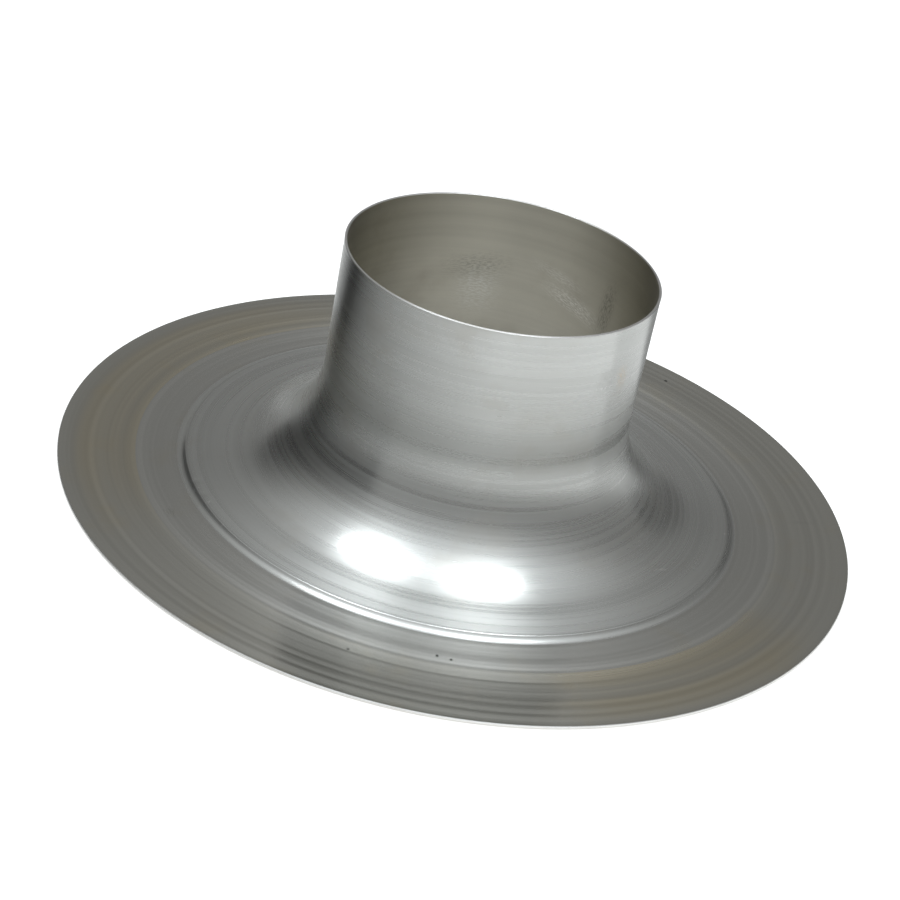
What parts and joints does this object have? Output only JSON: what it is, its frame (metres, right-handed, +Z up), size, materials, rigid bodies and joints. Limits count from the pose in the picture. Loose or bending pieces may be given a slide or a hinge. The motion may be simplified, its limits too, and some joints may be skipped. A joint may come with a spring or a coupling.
{
  "type": "roof pipe flashing",
  "caption": "Round spun sheet flashing: a flat flange rises over a low stepped dome and a hollow neck into a short straight collar for a vent pipe.",
  "frame": {"origin": "centre of the flange's underside, on the spinning axis", "axes": "+Z up along the spinning axis, from the flange to the collar's lip; the part is round, so +X and +Y are alike"},
  "size_m": [0.3499, 0.35, 0.108],
  "materials": {
    "aluminium": "bare spun sheet, satin with fine turning lines, some stains and scuffs"
  },
  "bodies": {
    "root": {"flashing": "aluminium"}
  },
  "joints": []
}
